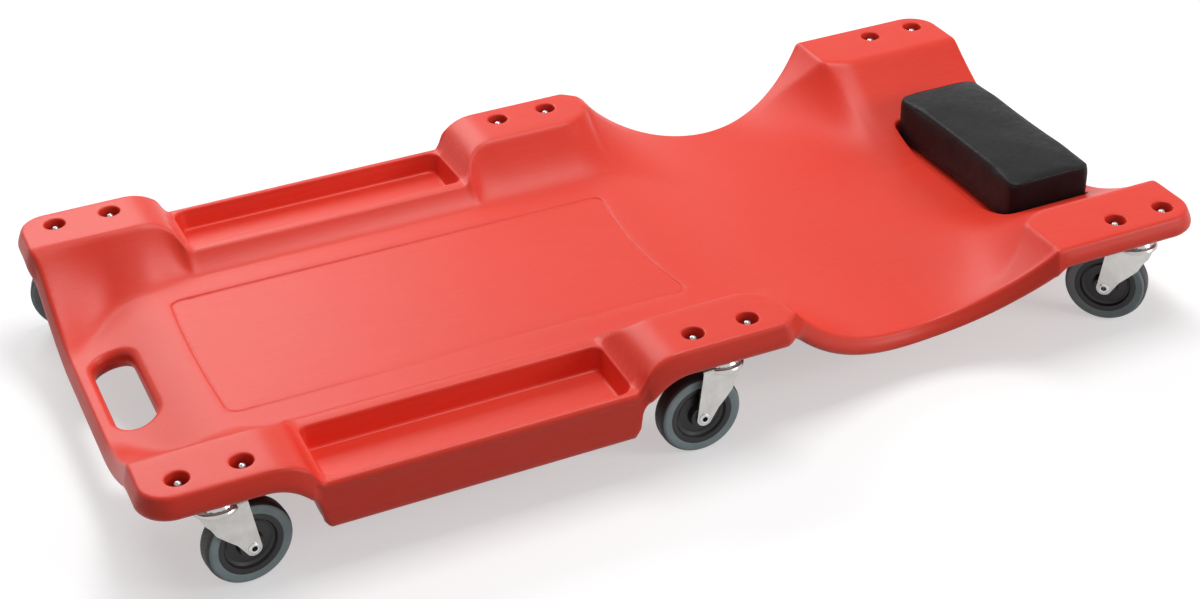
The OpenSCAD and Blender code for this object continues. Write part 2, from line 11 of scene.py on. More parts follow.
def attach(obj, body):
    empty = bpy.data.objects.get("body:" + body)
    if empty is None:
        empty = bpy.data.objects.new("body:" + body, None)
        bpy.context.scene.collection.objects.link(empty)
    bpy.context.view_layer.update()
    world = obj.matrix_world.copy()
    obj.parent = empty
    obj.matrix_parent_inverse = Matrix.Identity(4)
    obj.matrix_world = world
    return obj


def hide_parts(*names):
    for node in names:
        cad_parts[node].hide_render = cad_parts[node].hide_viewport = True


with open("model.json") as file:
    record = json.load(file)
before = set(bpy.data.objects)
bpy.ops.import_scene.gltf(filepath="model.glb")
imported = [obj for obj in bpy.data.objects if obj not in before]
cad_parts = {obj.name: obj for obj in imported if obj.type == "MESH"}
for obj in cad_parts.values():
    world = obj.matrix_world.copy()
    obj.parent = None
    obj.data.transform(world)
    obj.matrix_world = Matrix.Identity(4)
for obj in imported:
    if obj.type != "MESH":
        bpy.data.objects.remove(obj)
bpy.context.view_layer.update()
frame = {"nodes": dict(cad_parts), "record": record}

nodes = frame["nodes"]
PLACES = ["foot_right", "mid_right", "head_right", "foot_left", "mid_left", "head_left"]
MM = 0.001

# Camera, as fitted to the photograph
scene = bpy.context.scene
RIGHT = Vector((0.91008111, -0.41350008, -0.02774993))
DOWN = Vector((-0.24268114, -0.47744909, -0.84448104))
AHEAD = Vector((0.3359438, 0.77528063, -0.53486607))
SPOT = Vector((-0.69074070, -1.58379105, 1.11809476))
camera = bpy.data.objects.new("camera", bpy.data.cameras.new("camera"))
scene.collection.objects.link(camera)
turn = Matrix((RIGHT, -DOWN, -AHEAD)).transposed().to_4x4()
camera.matrix_world = Matrix.Translation(SPOT) @ turn
camera.data.sensor_width = 36
camera.data.lens = 64.3516
camera.data.clip_end = 60
scene.camera = camera
scene.view_settings.view_transform = "Standard"


# Node materials
class Look:
    """A node material under construction."""

    def __init__(self, name):
        self.material = bpy.data.materials.new(name)
        self.material.use_nodes = True
        self.tree = self.material.node_tree
        self.shader = self.tree.nodes["Principled BSDF"]
        self.place = self.node("ShaderNodeTexCoord").outputs["Object"]

    def node(self, kind, **values):
        n = self.tree.nodes.new(kind)
        for key, value in values.items():
            setattr(n, key, value)
        return n

    def link(self, a, b):
        self.tree.links.new(a, b)

    def set(self, **values):
        for key, value in values.items():
            self.shader.inputs[key.replace("_", " ")].default_value = value
        return self

    def stretched(self, scale):
        m = self.node("ShaderNodeMapping")
        m.inputs["Scale"].default_value = scale
        self.link(self.place, m.inputs["Vector"])
        return m.outputs["Vector"]

    def noise(self, scale, detail=2.0, rough=0.5, where=None):
        n = self.node("ShaderNodeTexNoise")
        n.inputs["Scale"].default_value = scale
        n.inputs["Detail"].default_value = detail
        n.inputs["Roughness"].default_value = rough
        self.link(where or self.place, n.inputs["Vector"])
        return n.outputs["Fac"]

    def cells(self, scale):
        n = self.node("ShaderNodeTexVoronoi")
        n.inputs["Scale"].default_value = scale
        self.link(self.place, n.inputs["Vector"])
        return n.outputs["Distance"]

    def ramp(self, value, low, high, out_low, out_high):
        m = self.node("ShaderNodeMapRange")
        for key, v in zip(("From Min", "From Max", "To Min", "To Max"), (low, high, out_low, out_high)):
            m.inputs[key].default_value = v
        self.link(value, m.inputs["Value"])
        return m.outputs["Result"]

    def blend(self, fac, a, b):
        m = self.node("ShaderNodeMix", data_type="RGBA")
        for key, v in ((0, fac), (6, a), (7, b)):
            if isinstance(v, (tuple, list)):
                m.inputs[key].default_value = (*v, 1)
            elif isinstance(v, (int, float)):
                m.inputs[key].default_value = v
            else:
                self.link(v, m.inputs[key])
        return m.outputs[2]

    def colour(self, socket):
        self.link(socket, self.shader.inputs["Base Color"])
        return self

    def roughness(self, socket):
        self.link(socket, self.shader.inputs["Roughness"])
        return self

    def bumps(self, *layers):
        """Layers of (height, strength, distance in metres), chained into the shader's normal."""
        last = None
        for height, strength, distance in layers:
            b = self.node("ShaderNodeBump")
            b.inputs["Strength"].default_value = strength
            b.inputs["Distance"].default_value = distance
            self.link(height, b.inputs["Height"])
            if last:
                self.link(last, b.inputs["Normal"])
            last = b.outputs["Normal"]
        self.link(last, self.shader.inputs["Normal"])
        return self


def red_plastic():
    k = Look("board_plastic").set(IOR=1.5, Specular_IOR_Level=0.36)
    cloud = k.noise(9, 3)
    streak = k.noise(1, 3, 0.6, k.stretched((40, 420, 420)))
    tone = k.blend(k.ramp(cloud, 0.3, 0.7, 0, 1), (0.78, 0.033, 0.013), (0.75, 0.039, 0.018))
    k.colour(k.blend(k.ramp(streak, 0.35, 0.7, 0, 0.25), tone, (0.80, 0.072, 0.042)))
    grain = k.noise(900, 2)
    k.roughness(k.ramp(grain, 0.3, 0.7, 0.36, 0.45))
    return k.bumps((streak, 0.12, 0.0004), (grain, 0.10, 0.0003)).material


def zinc(name, colour, rough, grain=0.06):
    k = Look(name).set(Metallic=1.0)
    spot = k.noise(60, 4, 0.6)
    fine = k.noise(1400, 2)
    k.colour(k.blend(k.ramp(spot, 0.3, 0.75, 0, 1), colour, tuple(0.8 * c for c in colour)))
    k.roughness(k.ramp(spot, 0.3, 0.7, rough * 0.8, rough * 1.25))
    return k.bumps((fine, grain, 0.0002)).material


def plastic(name, colour, rough):
    k = Look(name).set(IOR=1.48)
    k.colour(k.blend(k.ramp(k.noise(120, 3), 0.3, 0.7, 0, 1), colour, tuple(1.35 * c for c in colour)))
    k.roughness(k.ramp(k.noise(500, 3), 0.3, 0.7, rough * 0.85, rough * 1.15))
    return k.bumps((k.noise(700, 2), 0.08, 0.0003)).material


def rubber(place):
    """Grey rubber with painted shade: the tread is coloured nearly black, told apart from the grey sides by the
    distance from the wheel's middle plane.
    """
    k = Look(f"tyre_rubber_{place}").set(IOR=1.5)
    roll = next(j for j in frame["record"]["behaviour"]["joints"] if j["name"] == f"{place}_roll")
    off = k.node("ShaderNodeVectorMath", operation="SUBTRACT")
    off.inputs[1].default_value = roll["pos_m"]
    k.link(k.place, off.inputs[0])
    along = k.node("ShaderNodeVectorMath", operation="DOT_PRODUCT")
    along.inputs[1].default_value = roll["axis"]
    k.link(off.outputs[0], along.inputs[0])
    size = k.node("ShaderNodeMath", operation="ABSOLUTE")
    k.link(along.outputs["Value"], size.inputs[0])
    grey = k.blend(k.ramp(k.noise(70, 4, 0.6), 0.35, 0.7, 0, 1), (0.25, 0.315, 0.33), (0.31, 0.375, 0.39))
    # painted shade: within 8.1 mm of the middle plane the tread is nearly black, and the sides keep the grey
    k.colour(k.blend(k.ramp(size.outputs[0], 0.0081, 0.0087, 0, 1), (0.028, 0.028, 0.030), grey))
    k.roughness(k.ramp(k.noise(400, 3), 0.3, 0.7, 0.48, 0.66))
    return k.bumps((k.noise(900, 3), 0.12, 0.0003)).material


def vinyl():
    k = Look("vinyl").set(IOR=1.5, Specular_IOR_Level=0.13)
    cell = k.cells(700)
    tone = k.ramp(k.noise(30, 3), 0.3, 0.7, 0, 1)
    k.colour(k.blend(tone, (0.010, 0.0095, 0.0105), (0.016, 0.015, 0.0165)))
    k.roughness(k.ramp(k.noise(160, 3), 0.3, 0.7, 0.34, 0.48))
    return k.bumps((k.noise(45, 3), 0.25, 0.002), (cell, 0.22, 0.0004)).material


def plain(name, a, b, scale, rough):
    k = Look(name)
    k.colour(k.blend(k.ramp(k.noise(scale, 4, 0.6), 0.3, 0.7, 0, 1), a, b))
    k.roughness(k.ramp(k.noise(scale * 4, 3), 0.3, 0.7, rough * 0.9, rough * 1.1))
    return k.bumps((k.noise(scale * 3, 3), 0.3, 0.0005)).material


LOOKS = {
    "board_plastic": red_plastic(),
    "vinyl": vinyl(),
    "foam": plain("foam", (0.80, 0.75, 0.58), (0.70, 0.64, 0.46), 220, 0.9),
    "plywood": plain("plywood", (0.60, 0.42, 0.24), (0.50, 0.33, 0.17), 60, 0.7),
    "zinc": zinc("zinc", (0.62, 0.63, 0.64), 0.30),
    "washer_steel": zinc("washer_steel", (0.24, 0.22, 0.20), 0.45),
    "bright_steel": zinc("bright_steel", (0.40, 0.40, 0.41), 0.12, 0.02),
    "rivet_steel": zinc("rivet_steel", (0.66, 0.66, 0.66), 0.22),
    "plate_steel": zinc("plate_steel", (0.50, 0.50, 0.49), 0.32),
    "fork_steel": zinc("fork_steel", (0.60, 0.59, 0.57), 0.20, 0.05),
    "hub_plastic": plastic("hub_plastic", (0.012, 0.011, 0.013), 0.38),
}
TYRES = {f"tyre_{place}": rubber(place) for place in PLACES}
for part in frame["record"]["subparts"]:
    mesh = nodes[part["node"]].data
    mesh.materials.clear()
    mesh.materials.append(TYRES.get(part["node"]) or LOOKS[part["material_slot"]])


# Board: the shape of the source on a closer mesh, with softer crests at the head pads, in millimetres
def unit(t):
    return np.clip(t, 0.0, 1.0)


def mix(a, b, u):
    return a + (b - a) * u


def ease(a, b, t):
    u = unit((t - a) / (b - a))
    return u * u * (3 - 2 * u)


def quarter(a, b, t):
    """From 0 at a to 1 at b, along a quarter circle that starts flat."""
    u = unit((t - a) / (b - a))
    return 1 - np.sqrt(np.maximum(1 - u * u, 0))


def soft_min(a, b, k):
    """The lower of a and b, rounded over where they come within k of each other."""
    h = unit(0.5 + 0.5 * (b - a) / k)
    return mix(b, a, h) - k * h * (1 - h)


def arc_drop(r, d):
    """How far an edge that is rounded with radius r has dropped at a distance d from its wall."""
    c = np.clip(d, 0, r)
    return r - np.sqrt(np.maximum(r * r - (r - c) ** 2, 0))


X0, X1 = -500.0, 500.0
PAD_HALF, DIP_HALF, TRAY_HALF = 248.0, 216.0, 244.0
FOOT_CORNER, HEAD_CORNER = 30.0, 34.0
WAIST_X, WAIST_REACH, WAIST_LATE = 222.0, 117.0, 13.5
PANEL_TOP, FOOT_LOW, HEAD_LOW, BOARD_T = 78.0, 62.0, 55.0, 20.0
FOOT_TOP, MID_TOP, HEAD_TOP, PAD_LOW = 117.0, 119.5, 115.5, 96.0
PIN_X, PIN_ROW, BOLT_GAP = (-437.5, 11.0, 443.5), 220.0, 52.0
TRAY_X0, TRAY_X1, TRAY_Y0, TRAY_Y1 = -350.0, -78.0, 164.0, 236.0
TRAY_FLOOR, TRAY_RIM, SKIRT_LOW = 71.0, 90.0, 41.5
SLOT_X, SLOT_LEN, SLOT_W = -459.0, 118.0, 36.0
WELL_R, WELL_DEPTH = 9.75, 16.5
SCREW_Y, SCREW_WELL_R, SCREW_WELL_TOP = 55.0, 9.0, 38.5
SLOT_ROUND, POCKET_ROUND, WELL_ROUND, SEAT_ROUND = 7.0, 2.6, 1.6, 2.0
DIP_X, DIP_Z, DIP_R, DIP_T = 211.0, 220.0, 167.0, 17.0
REST_X, REST_LEN, REST_WID, REST_TOP, SEAT_FLOOR = 429.0, 90.0, 212.0, 104.5, 53.0
ARCH_R, ARCH_DROP = 46.0, 47.0
ARCH_FOOT, ARCH_MID = TRAY_X0 - 6 - ARCH_R, TRAY_X1 + 4 + ARCH_R
PAD_END, RIM_START, RIM_END, PAD_START = -394.0, -357.0, -72.0, -36.0
VALLEY, SOFT = 4.5, 0.12
CORNER_SIGNS = ((1, 1), (-1, 1), (-1, -1), (1, -1))
CREASE, HEAD_PAD_IN, PAD_CORNER = 342.0, 174.0, 12.0


def in_tray(x):
    """From 0 at the pads to 1 along the trays, with the valleys at the pads' ends rounded."""
    x = np.asarray(x, float)
    steps = np.linspace(-VALLEY, VALLEY, 19)
    return sum(np.minimum(quarter(PAD_END, RIM_START, x + d), quarter(PAD_START, RIM_END, x + d))
               for d in steps) / len(steps)


def pad_level(x):
    return np.where(x < (RIM_START + RIM_END) / 2, FOOT_TOP, np.where(x < DIP_X, MID_TOP, HEAD_TOP))


def dip_arc(x, r):
    return DIP_Z - np.sqrt(np.maximum(r * r - (x - DIP_X) ** 2, 0))


def rail_top(x, blunt=0.0):
    """Top of the side rails, with the crest between the arm dip and the head pad rounded more by blunt."""
    crisp = mix(7.0, 2.4, ease(240, 320, x)) + blunt * ease(250, 320, x)
    return soft_min(mix(pad_level(x), TRAY_RIM, in_tray(x)), dip_arc(x, DIP_R), crisp)


def rail_low(x):
    """Underside of the side rails: the pads, the arches over the wheels and the skirts below the trays."""
    skirt = np.minimum(quarter(0, ARCH_R, x - ARCH_FOOT), quarter(0, ARCH_R, ARCH_MID - x))
    foot = np.minimum(unit((x - ARCH_FOOT - ARCH_R) / 5), unit((ARCH_MID - ARCH_R - x) / 5))
    low = PAD_LOW - ARCH_DROP * skirt - (PAD_LOW - ARCH_DROP - SKIRT_LOW) * foot
    return soft_min(low, dip_arc(x, DIP_R + DIP_T), 6)


def mid_line(x):
    """Top of the board along its middle."""
    return FOOT_LOW + (PANEL_TOP - FOOT_LOW) * ease(-478, -398, x) - (PANEL_TOP - HEAD_LOW) * ease(50, 215, x)


def half_width(x):
    shape = 1 - unit((x - WAIST_X) / WAIST_REACH) ** 2
    w = PAD_HALF - (PAD_HALF - TRAY_HALF) * ease(0.2, 1, in_tray(x))
    early = (PAD_HALF - DIP_HALF - WAIST_LATE) * ease(62, 90, x)
    w = w - (early + WAIST_LATE * ease(85, WAIST_X, x)) * shape
    return w - arc_corner(FOOT_CORNER, x - X0) - arc_corner(HEAD_CORNER, X1 - x)


def arc_corner(r, d):
    return np.where(d < r, arc_drop(r, d), 0.0)


def slope_start(x):
    """Distance from the middle at which the top starts to rise towards the rails."""
    return mix(60, 115, ease(-500, -430, x)) + 12 * ease(-400, -360, x) - 82 * ease(60, 200, x)


def slope_end(x):
    """Distance from the middle at which the slope has reached the rails."""
    b = 180 - 28 * ease(0, 1, in_tray(x)) + 30 * quarter(40, 75, x) - 36 * ease(298, 374, x)
    turned = 1 - unit((x - CREASE) / PAD_CORNER)
    corner = np.where(x < CREASE, PAD_CORNER, PAD_CORNER * (1 - np.sqrt(unit(1 - turned ** 2))))
    return np.where(x > 320, -soft_min(-b, -(HEAD_PAD_IN + corner), 3), b)


def low_start(x):
    return slope_start(x) + 5


def low_end(x):
    return slope_end(x) + 10 - 12 * in_tray(x)


def slope(u, crisp):
    return soft_min(np.maximum(u, 0) ** 1.7, 1, crisp)


def top_z(x, y):
    y = abs(y)
    a, b = slope_start(x), slope_end(x)
    rim = rail_top(x, 11 * ease(-6, 30, b - y)) + 3 * in_tray(x) * (1 - unit((y - b) / 80))
    return mix(mid_line(x), rim, slope((y - a) / (b - a), mix(SOFT, 0.055, ease(240, 330, x))))


def low_z(x, y):
    y = abs(y)
    a, b = low_start(x), low_end(x)
    return mix(mid_line(x) - BOARD_T, rail_low(x), slope((y - a) / (b - a), SOFT))


def spaced(points, step):
    """Points along a line, evenly spaced by its length in all its columns."""
    length = np.concatenate([[0], np.cumsum(np.linalg.norm(np.diff(points, axis=0), axis=1))])
    n = max(int(round(length[-1] / step)), 2)
    at = np.linspace(0, length[-1], n + 1)
    return np.stack([np.interp(at, length, c) for c in points.T], axis=1)


def stations(start, end):
    """Places along the board, closer together outside the trays, where its slopes and its outline turn."""
    a, b = RIM_START + 8, RIM_END - 8
    return np.concatenate([np.arange(start, a, 0.25), np.arange(a, b, 1.0), np.arange(b, end, 0.25)])


def half_outline():
    """Half of the board's outline, from the middle of the foot end to the middle of the head end."""
    turn = np.linspace(0, math.pi / 2, 40)
    xs = np.concatenate([X0 + FOOT_CORNER * (1 - np.cos(turn)),
                         stations(X0 + FOOT_CORNER + 0.25, X1 - HEAD_CORNER),
                         X1 - HEAD_CORNER * (1 - np.cos(turn[::-1]))])
    ys = half_width(xs)
    foot = np.stack([np.full(60, X0), np.linspace(0, ys[0], 61)[:-1]], axis=1)
    head = np.stack([np.full(60, X1), np.linspace(ys[-1], 0, 61)[1:]], axis=1)
    line = np.concatenate([foot, np.stack([xs, ys], axis=1), head])
    line[:, 0] += 3.5 * (1 - ease(166, 186, line[:, 1])) * (1 - ease(X0, X0 + 70, line[:, 0]))
    inward = np.maximum(line[:, 1] - 8, 0)
    z = top_z(np.clip(line[:, 0], X0 + 0.01, X1 - 0.01), inward)
    return spaced(np.column_stack([line, z]), 2.6)[:, :2]


def outline():
    """The closed outline and its outward directions."""
    half = half_outline()
    ring = np.concatenate([half, half[-2:0:-1] * (1, -1)])
    ahead = np.roll(ring, -1, axis=0) - np.roll(ring, 1, axis=0)
    ahead /= np.linalg.norm(ahead, axis=1)[:, None]
    side = np.stack([-ahead[:, 1], ahead[:, 0]], axis=1)
    for _ in range(2):
        side = (np.roll(side, 1, axis=0) + 2 * side + np.roll(side, -1, axis=0)) / 4
    return ring, side / np.linalg.norm(side, axis=1)[:, None]


# Section of the rim, as (distance inwards, share of the height, millimetres down from the top)
PAD_RIM = [(8.6, 0, 0), (7.2, 0, 0.12), (6.0, 0, 0.6), (5.0, 0, 1.4), (4.2, 0, 2.6), (3.6, 0, 4.1), (2.5, 0.32, 0),
           (1.3, 0.46, 0), (0.45, 0.6, 0), (0.0, 0.72, 0), (0.25, 0.82, 0), (1.0, 1, -2.7), (2.1, 1, -1.2),
           (3.6, 1, -0.3), (5.4, 1, 0)]
TRAY_EDGE = [(4.6, 0, 0), (3.5, 0, 0.12), (2.4, 0, 0.6), (1.4, 0, 1.5), (0.7, 0, 2.7), (0.3, 0, 4.2), (0.2, 0, 6.6),
             (0.5, 0, 7.6), (1.5, 0, 8.1), (1.7, 0, 9.6), (1.9, 0.6, 0), (2.2, 1, -7.0), (3.1, 1, -3.2),
             (5.2, 1, -0.8), (8.5, 1, 0)]
IN_TOP, IN_LOW = (8.6, 4.6), (5.4, 8.5)


def rect_ring(cx, cy, lx, ly, radii, step=4.8):
    """A rounded rectangle with a radius for each corner, anticlockwise, as a function of distance outwards."""
    def corners(e):
        pts = []
        for k, ((sx, sy), r) in enumerate(zip(CORNER_SIGNS, radii)):
            r = max(r + e, 1.5)
            x, y = cx + sx * (lx / 2 + e - r), cy + sy * (ly / 2 + e - r)
            for a in np.radians(np.linspace(90 * k, 90 * k + 90, 9)):
                pts.append((x + r * math.cos(a), y + r * math.sin(a)))
        return np.array(pts)

    base = corners(0)
    counts = np.maximum((np.linalg.norm(np.roll(base, -1, axis=0) - base, axis=1) / step).astype(int), 1)

    def at(e):
        pts = corners(e)
        return np.concatenate([mix(p, q, np.arange(n)[:, None] / n)
                               for p, q, n in zip(pts, np.roll(pts, -1, axis=0), counts)])

    return at


def circle_ring(cx, cy, r, n=48):
    """A circle, as a function of distance outwards."""
    a = np.linspace(0, 2 * math.pi, n + 1)[:-1]
    out = np.stack([np.cos(a), np.sin(a)], axis=1)
    return lambda e: np.array([cx, cy]) + (r + e) * out


class Shell:
    """Collects rings and sheets of a closed surface, in millimetres."""

    def __init__(self):
        self.points, self.faces, self.count = [], [], 0

    def add(self, points):
        start = self.count
        self.points.append(np.asarray(points, float))
        self.count += len(points)
        return start

    def strips(self, rings, flip=False):
        n = len(rings[0])
        starts = [self.add(r) for r in rings]
        for a, b in zip(starts, starts[1:]):
            for i in range(n):
                j = (i + 1) % n
                quad = (a + i, a + j, b + j, b + i)
                self.faces.append(quad[::-1] if flip else quad)

    def sheet(self, points, edges, height, keep, flip=False):
        """A flat triangulation of points with fixed edges, lifted by height(index of the given point, x, y)."""
        found, _, tris, origin, *_ = delaunay_2d_cdt([Vector(p) for p in points], edges, [], 0, 1e-5)
        xy = np.array([tuple(v) for v in found])
        given = np.array([o[0] if o else -1 for o in origin])
        tris = np.array([t for t in tris])
        mid = xy[tris].mean(axis=1)
        tris = tris[keep(mid)]
        start = self.add(np.column_stack([xy, height(given, xy[:, 0], xy[:, 1])]))
        for t in tris:
            a, b, c = (int(v) + start for v in t)
            self.faces.append((a, c, b) if flip else (a, b, c))

    def mesh(self, name, weld=0.004):
        me = bpy.data.meshes.new(name)
        me.from_pydata((np.concatenate(self.points) * MM).tolist(), [], self.faces)
        bm = bmesh.new()
        bm.from_mesh(me)
        bmesh.ops.remove_doubles(bm, verts=bm.verts, dist=weld * MM)
        loose = [v for v in bm.verts if not v.link_faces]
        bmesh.ops.delete(bm, geom=loose, context="VERTS")
        bmesh.ops.recalc_face_normals(bm, faces=bm.faces)
        bm.to_mesh(me)
        bm.free()
        me.polygons.foreach_set("use_smooth", [True] * len(me.polygons))
        return me


def inside(ring, q):
    """Which of the points q lie in a closed ring."""
    hit = np.zeros(len(q), bool)
    a, b = ring, np.roll(ring, -1, axis=0)
    for (x1, y1), (x2, y2) in zip(a, b):
        cross = (y1 > q[:, 1]) != (y2 > q[:, 1])
        if y1 != y2:
            hit ^= cross & (q[:, 0] < (x2 - x1) * (q[:, 1] - y1) / (y2 - y1) + x1)
    return hit


def near(ring, q, reach):
    """Which of the points q lie within reach of a ring's points."""
    hit = np.zeros(len(q), bool)
    for k in range(0, len(q), 4000):
        d = q[k:k + 4000, None, :] - ring[None, :, :]
        hit[k:k + 4000] = (d * d).sum(axis=2).min(axis=1) < reach * reach
    return hit


# Loops round each feature as (distance outwards, millimetres down from the surface)
def rounded(r, *steps):
    return [(e, float(arc_drop(r, e))) for e in (r, *steps, 0.0)]


SLOT_RIM = rounded(SLOT_ROUND, 5.6, 4.3, 3.1, 2.1, 1.25, 0.6, 0.15)
POCKET_RIM = rounded(POCKET_ROUND, 1.9, 1.3, 0.8, 0.4, 0.1)
WELL_RIM = rounded(WELL_ROUND, 1.1, 0.65, 0.3, 0.08)
SEAT_RIM = rounded(SEAT_ROUND, 1.4, 0.9, 0.5, 0.15)
PANEL_SINK = 0.65
GROOVE = [(1.8, 0), (1.15, 0.2), (0.65, 0.85), (0.2, 1.25), (-0.3, 1.25), (-0.8, 1.0), (-1.35, 0.75),
          (-2.1, PANEL_SINK)]


def groove_outline():
    """The groove round the bare panel, as a function of distance outwards."""
    half, corner, foot_bow, head_bow = 97.7, 10.0, 1360.0, 480.0
    cy = half - corner
    fc, hc = -393.5 + foot_bow, 31.5 + head_bow
    fx = fc - math.sqrt((foot_bow - corner) ** 2 - cy * cy)
    hx = hc - math.sqrt((head_bow + corner) ** 2 - cy * cy)
    f_turn = math.degrees(math.asin(cy / (foot_bow - corner)))
    h_turn = math.degrees(math.asin(cy / (head_bow + corner)))
    pts, out = [], []

    def arc(x, y, r, a0, a1, n, sign=1):
        for a in np.radians(np.linspace(a0, a1, n)):
            pts.append((x + r * math.cos(a), y + r * math.sin(a)))
            out.append((sign * math.cos(a), sign * math.sin(a)))

    def straight(x, y, u, v, n):
        for k in range(1, n):
            pts.append((mix(x, u, k / n), y))
            out.append((0, 1 if y > 0 else -1))

    arc(hc, 0, head_bow, 180 + h_turn, 180 - h_turn, 60, -1)
    arc(hx, cy, corner, -h_turn, 90, 14)
    straight(hx, half, fx, half, 120)
    arc(fx, cy, corner, 90, 180 - f_turn, 14)
    arc(fc, 0, foot_bow, 180 - f_turn, 180 + f_turn, 60)
    arc(fx, -cy, corner, 180 + f_turn, 270, 14)
    straight(fx, -half, hx, -half, 120)
    arc(hx, -cy, corner, 270, 360 + h_turn, 14)
    pts, out = np.array(pts), np.array(out)
    fresh = np.linalg.norm(pts - np.roll(pts, 1, axis=0), axis=1) > 0.05
    return lambda e: pts[fresh] + out[fresh] * e


def board_mesh():
    """The board as one closed mesh: rim, top and underside, slot, trays, wells, seat and screw recesses."""
    shell = Shell()
    ring, side = outline()
    weight = ease(0.35, 1, in_tray(ring[:, 0]))[:, None]
    core = ring - side * mix(IN_TOP[0], IN_TOP[1], weight)
    base = ring - side * mix(IN_LOW[0], IN_LOW[1], weight)
    zt, zl = top_z(core[:, 0], core[:, 1]), low_z(base[:, 0], base[:, 1])
    rows = []
    for (i0, f0, d0), (i1, f1, d1) in zip(PAD_RIM, TRAY_EDGE):
        xy = ring - side * mix(i0, i1, weight)
        z = [zt - f * (zt - zl) - d for f, d in ((f0, d0), (f1, d1))]
        rows.append(np.column_stack([xy, mix(z[0], z[1], weight[:, 0])]))
    rows[0][:, 2], rows[-1][:, 2] = zt, zl
    shell.strips(rows)

    # Background points that follow the slopes, for the top and the underside
    fine = stations(X0, X1 + 0.1)
    xs = spaced(np.column_stack([fine, rail_top(fine)]), 3.4)[:, 0]
    xs = np.unique(np.round(np.concatenate([xs, CREASE + np.arange(-7, 13, 1.0)]), 2))
    xs = xs[np.concatenate([[True], np.diff(xs) > 0.45])]

    def background(start, end, edge, room):
        cols = [np.linspace(0, 1, 14)[None, :] * start(xs)[:, None]]
        f = np.concatenate([np.linspace(0, 0.9, 17)[1:], [0.94, 0.965, 0.985, 1.0, 1.015, 1.035, 1.06]])
        cols.append(mix(start(xs)[:, None], end(xs)[:, None], f[None, :]))
        last = cols[-1][:, -1]
        limit = half_width(np.clip(xs, X0 + 0.2, X1 - 0.2)) - room
        cols.append(mix(last[:, None], np.maximum(limit, last + 1)[:, None], np.linspace(0, 1, 9)[None, 1:]))
        y = np.concatenate(cols, axis=1)
        x = np.repeat(xs[:, None], y.shape[1], axis=1)
        q = np.stack([x.ravel(), y.ravel()], axis=1)
        q = np.concatenate([q, q[q[:, 1] > 0.01] * (1, -1)])
        q = q[inside(edge, q)]
        return q[~near(edge, q, 1.5)]

    def sheet(edge, surface, start, end, room, features, flip):
        q = background(start, end, edge, room)
        holes = []
        for at, rim, solid in features:
            outer = at(rim[0][0])
            if solid:
                q = q[~near(np.concatenate([at(e) for e, _ in rim]), q, 1.4)]
            else:
                q = q[~inside(outer, q)]
                q = q[~near(outer, q, 1.2)]
                holes.append(at(0))
        all_pts, edges, drops = [edge], [], [np.zeros(len(edge))]
        n = len(edge)
        edges += [(i, (i + 1) % n) for i in range(n)]
        count = n
        for at, rim, solid in features:
            for e, d in rim:
                all_pts.append(at(e))
                m = len(all_pts[-1])
                drops.append(np.full(m, d))
                edges += [(count + i, count + (i + 1) % m) for i in range(m)]
                count += m
        all_pts.append(q)
        drops.append(np.zeros(len(q)))
        points, drop = np.concatenate(all_pts), np.concatenate(drops)

        def height(given, x, y):
            d = np.where(given >= 0, drop[np.maximum(given, 0)], 0)
            if not flip:
                d = np.where(inside(panel, np.stack([x, y], axis=1)), PANEL_SINK, d)
            return surface(x, y) - (-d if flip else d)

        def keep(mid):
            ok = inside(edge, mid)
            for h in holes:
                ok &= ~inside(h, mid)
            return ok

        shell.sheet(points, edges, height, keep, flip)

    slot = rect_ring(SLOT_X, 0, SLOT_W, SLOT_LEN, [SLOT_W / 2 - 0.01] * 4)
    seat = rect_ring(REST_X - 1, 0, REST_LEN + 4.5, REST_WID + 2.5, [7] * 4)
    trays = [rect_ring((TRAY_X0 + TRAY_X1) / 2, s * (TRAY_Y0 + TRAY_Y1) / 2,
                       TRAY_X1 - TRAY_X0, TRAY_Y1 - TRAY_Y0, radii)
             for s, radii in ((1, [13, 13, 7, 9]), (-1, [9, 7, 13, 13]))]
    wells = [circle_ring(x + s * BOLT_GAP / 2, y, WELL_R)
             for x in PIN_X for y in (-PIN_ROW, PIN_ROW) for s in (-1, 1)]
    screws = [circle_ring(REST_X, y, SCREW_WELL_R) for y in (-SCREW_Y, SCREW_Y)]
    groove = groove_outline()
    panel = groove(-2.4)
    features = [(slot, SLOT_RIM, False), (seat, SEAT_RIM, False), (groove, GROOVE, True)]
    features += [(t, POCKET_RIM, False) for t in trays] + [(w, WELL_RIM, False) for w in wells]
    sheet(rows[0][:, :2], top_z, slope_start, slope_end, IN_TOP[0] + 1, features, False)
    under = [(slot, SLOT_RIM, False)] + [(c, WELL_RIM, False) for c in screws]
    sheet(rows[-1][:, :2], low_z, low_start, low_end, IN_LOW[1] + 1, under, True)

    def rim_ring(pts, surface, down):
        return np.column_stack([pts, surface(pts[:, 0], pts[:, 1]) - down])

    # Walls of the slot
    top, low = rim_ring(slot(0), top_z, SLOT_ROUND), rim_ring(slot(0), low_z, -SLOT_ROUND)
    shell.strips([top] + [np.column_stack([slot(-e), mix(top[:, 2], low[:, 2], f)])
                          for e, f in ((0.35, 0.3), (0.5, 0.5), (0.35, 0.7))] + [low], True)

